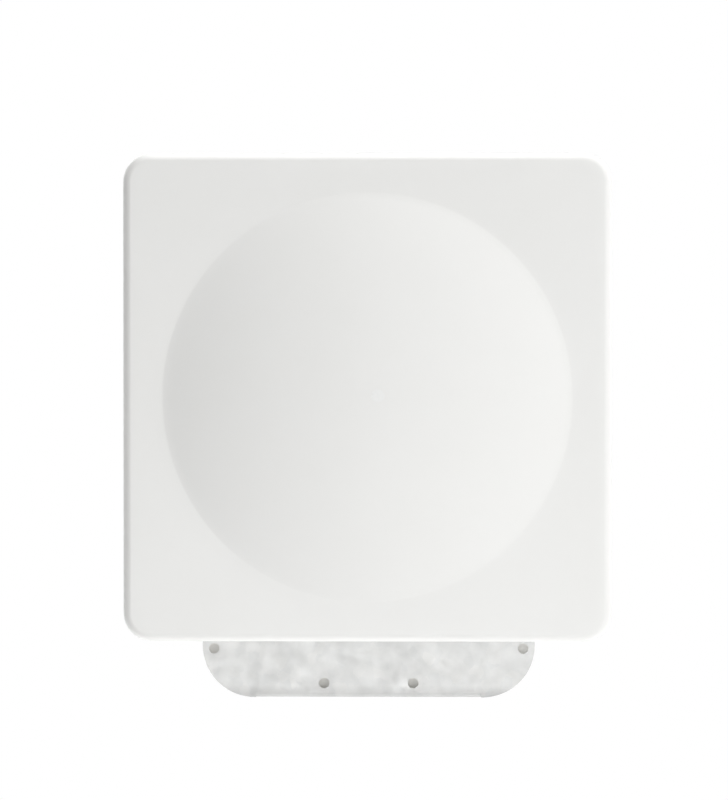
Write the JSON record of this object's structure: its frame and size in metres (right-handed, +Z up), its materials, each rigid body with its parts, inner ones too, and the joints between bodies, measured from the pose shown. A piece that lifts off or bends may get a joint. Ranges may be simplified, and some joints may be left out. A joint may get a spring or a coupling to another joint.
{
  "type": "ceiling access point",
  "caption": "Square white wireless access point with a shallow domed front, hung by its slotted back on a galvanised steel mounting plate with a latch.",
  "frame": {"origin": "point of the wall plane that lies on the dome's axis, behind the centre of the unit", "axes": "+Z up the wall, +X to the right when facing the cover, -Y out of the wall towards the room"},
  "size_m": [0.22, 0.0525, 0.2485],
  "materials": {
    "white_cover": "fine moulded texture",
    "galvanised_steel": "galvanised spangle, satin",
    "cast_housing": "cast alloy with a light grey powder coat",
    "grey_plastic": "fine moulded texture",
    "stainless": "brushed",
    "spring_steel": "drawn wire",
    "screw_steel": "zinc plated",
    "seal_rubber": "matte",
    "pad_rubber": "matte",
    "label_film": "satin film",
    "black_plastic": "matte",
    "button_black": "satin",
    "brass_plate": "plated",
    "clear_lens": "diffusing clear plastic",
    "board_green": "solder mask",
    "chip_black": "moulded epoxy",
    "tin_plate": "tin plated",
    "bare_aluminium": "milled",
    "pad_gel": "soft gap filler",
    "ferrite": "sintered",
    "can_blue": "sleeved can",
    "led_white": "clear epoxy over a white package",
    "jack_shell": "nickel plated shield",
    "gold_contact": "gold flashed",
    "contact_nickel": "nickel plated",
    "antenna_metal": "bare stamped alloy",
    "coax_jacket": "smooth jacket"
  },
  "bodies": {
    "bracket": {"mounting_plate": "galvanised_steel", "lever_pin": "stainless"},
    "release_lever": {"release_lever": "stainless", "lever_spring": "spring_steel"},
    "access_point": {"rear_housing": "cast_housing", "cable_bay": "grey_plastic", "front_cover": "white_cover", "cover_gasket": "seal_rubber", "cover_screws": "screw_steel", "corner_pads": "pad_rubber", "rating_label": "label_film", "vent_plug": "black_plastic", "ground_screw": "brass_plate", "light_pipe": "clear_lens", "main_board": "board_green", "board_screws": "screw_steel", "processor": "chip_black", "memory_chips": "chip_black", "radio_chips": "chip_black", "shield_cans": "tin_plate", "heat_spreader": "bare_aluminium", "thermal_pads": "pad_gel", "line_transformers": "black_plastic", "inductors": "ferrite", "capacitors": "can_blue", "status_led": "led_white", "reset_switch": "black_plastic", "ethernet_jack": "jack_shell", "ethernet_contacts": "gold_contact", "console_jack": "jack_shell", "console_contacts": "gold_contact", "dc_jack": "black_plastic", "dc_pin": "contact_nickel", "antenna_tray": "tin_plate", "tray_standoffs": "brass_plate", "tray_screws": "screw_steel", "antennas_2g": "antenna_metal", "antennas_5g": "antenna_metal", "antenna_leads": "coax_jacket", "coax_connectors": "gold_contact"},
    "reset_button": {"reset_button": "button_black"}
  },
  "joints": [
    {"name": "unit_lift", "type": "slide", "parent": "bracket", "child": "access_point", "axis": [0, 0, 1], "range_m": [0, 0.009]},
    {"name": "lever_turn", "type": "hinge", "parent": "bracket", "child": "release_lever", "pos_m": [0, -0.007, -0.068], "axis": [1, 0, 0], "range_deg": [0, 4.2], "stiffness_Nm_per_rad": 0.02, "springref_deg": -17.19},
    {"name": "reset_press", "type": "slide", "parent": "access_point", "child": "reset_button", "axis": [0, 0, 1], "range_m": [0, 0.001], "stiffness_N_per_m": 300, "springref_m": -0.001}
  ],
  "couplings": [
    {"joint": "lever_turn", "follows": "unit_lift", "rad_per_m": 8}
  ]
}
